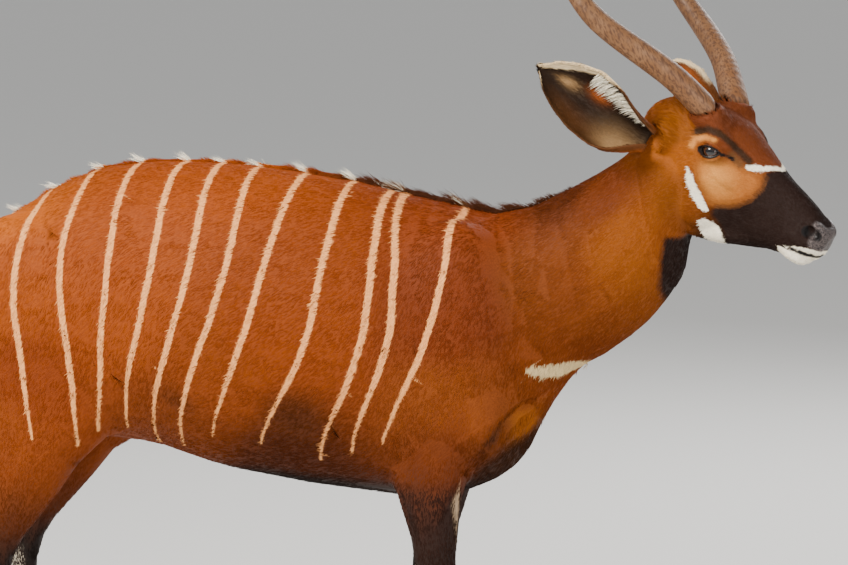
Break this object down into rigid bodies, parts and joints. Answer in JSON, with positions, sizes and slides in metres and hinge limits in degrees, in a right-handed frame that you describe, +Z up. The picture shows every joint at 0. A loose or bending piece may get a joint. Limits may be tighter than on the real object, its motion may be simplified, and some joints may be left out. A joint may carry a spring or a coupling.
{
  "type": "mountain bongo",
  "caption": "Life-size still model of an adult female mountain bongo, standing, its head turned a little to its right.",
  "frame": {"origin": "middle of the bounding box over the soles of the hooves, on the floor", "axes": "+X towards the head, +Y to the animal's left, +Z up"},
  "size_m": [1.843, 0.487, 1.8548],
  "materials": {
    "coat": "short glossy chestnut hair with white stripes",
    "horn": "grey-brown horn, finely mottled, with pale tips",
    "hoof": "dark satin horn",
    "eye": "wet gloss"
  },
  "bodies": {
    "root": {"torso": "coat", "neck": "coat", "head": "coat", "tail": "coat", "ear_right": "coat", "ear_left": "coat", "leg_fore_right": "coat", "leg_fore_left": "coat", "leg_hind_right": "coat", "leg_hind_left": "coat", "horn_right": "horn", "horn_left": "horn", "eye_right": "eye", "eye_left": "eye", "hoof_fore_right_a": "hoof", "hoof_fore_right_b": "hoof", "hoof_fore_left_a": "hoof", "hoof_fore_left_b": "hoof", "hoof_hind_right_a": "hoof", "hoof_hind_right_b": "hoof", "hoof_hind_left_a": "hoof", "hoof_hind_left_b": "hoof", "dewclaw_fore_right_a": "hoof", "dewclaw_fore_right_b": "hoof", "dewclaw_fore_left_a": "hoof", "dewclaw_fore_left_b": "hoof", "dewclaw_hind_right_a": "hoof", "dewclaw_hind_right_b": "hoof", "dewclaw_hind_left_a": "hoof", "dewclaw_hind_left_b": "hoof"}
  },
  "joints": []
}
